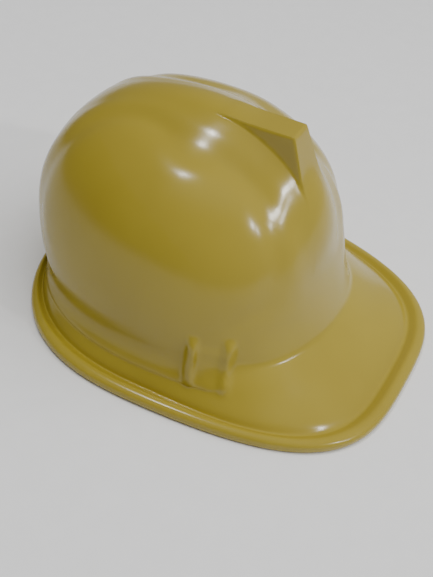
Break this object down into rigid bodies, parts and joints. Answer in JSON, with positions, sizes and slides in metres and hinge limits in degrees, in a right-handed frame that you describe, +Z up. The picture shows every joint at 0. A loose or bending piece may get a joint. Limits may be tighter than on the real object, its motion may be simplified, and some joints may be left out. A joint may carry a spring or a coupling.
{
  "type": "hard hat",
  "caption": "Industrial hard hat: moulded shell with peak, crown prow and rolled rim, over a webbing cradle with padded headband and a ratchet nape strap.",
  "frame": {"origin": "on the table plane that the rim rests on, under the middle of the dome's plan; the bottom of the lip is z = 0", "axes": "+Z up, -Y towards the peak (front), +X towards the wearer's left; X = 0 is the mirror plane of the shell"},
  "size_m": [0.2438, 0.2809, 0.162],
  "materials": {
    "shell_plastic": "glossy injection-moulded polyethylene",
    "band_plastic": "matt moulded polyethylene",
    "key_plastic": "satin moulded plastic",
    "knob_plastic": "fine textured plastic",
    "acetal": "satin acetal",
    "webbing": "woven polyester webbing",
    "sweat_cloth": "terry cloth over foam",
    "pad_foam": "knitted cloth over foam",
    "steel": "zinc-plated steel"
  },
  "bodies": {
    "hat": {"shell": "shell_plastic", "headband": "band_plastic", "headband_studs": "key_plastic", "sweatband": "sweat_cloth", "crown_strap_lower": "webbing", "crown_strap_upper": "webbing", "crown_pad": "pad_foam", "key_front_left": "key_plastic", "key_front_right": "key_plastic", "key_rear_left": "key_plastic", "key_rear_right": "key_plastic", "pivot_rivet_left": "key_plastic", "pivot_rivet_right": "key_plastic"},
    "yoke": {"nape_arm_left": "band_plastic", "nape_arm_right": "band_plastic"},
    "rack_left": {"nape_rack_left": "band_plastic"},
    "rack_right": {"nape_rack_right": "band_plastic"},
    "ratchet": {"ratchet_housing": "knob_plastic", "ratchet_cover": "knob_plastic", "housing_screws": "steel", "detent_spring": "acetal", "nape_pad": "pad_foam"},
    "knob": {"ratchet_knob": "knob_plastic", "ratchet_pinion": "acetal", "knob_screw": "steel"}
  },
  "joints": [
    {"name": "nape_swing", "type": "hinge", "parent": "hat", "child": "yoke", "pos_m": [0, 0.024, 0.022], "axis": [1, 0, 0], "range_deg": [-28, 0]},
    {"name": "rack_left_slide", "type": "slide", "parent": "yoke", "child": "rack_left", "axis": [-0.8944, -0.4472, 0], "range_m": [0, 0.01795]},
    {"name": "rack_right_slide", "type": "slide", "parent": "yoke", "child": "rack_right", "axis": [0.8944, -0.4472, 0], "range_m": [0, 0.01835]},
    {"name": "ratchet_slide", "type": "slide", "parent": "yoke", "child": "ratchet", "axis": [0, -1, 0], "range_m": [0, 0.00823]},
    {"name": "knob_turn", "type": "hinge", "parent": "ratchet", "child": "knob", "pos_m": [0, 0.095, 0.022], "axis": [0, 1, 0], "range_deg": [0, 235]}
  ],
  "couplings": [
    {"joint": "rack_right_slide", "follows": "rack_left_slide", "ratio": 1},
    {"joint": "ratchet_slide", "follows": "rack_left_slide", "ratio": 0.44721},
    {"joint": "knob_turn", "follows": "rack_left_slide", "rad_per_m": 223.61}
  ]
}
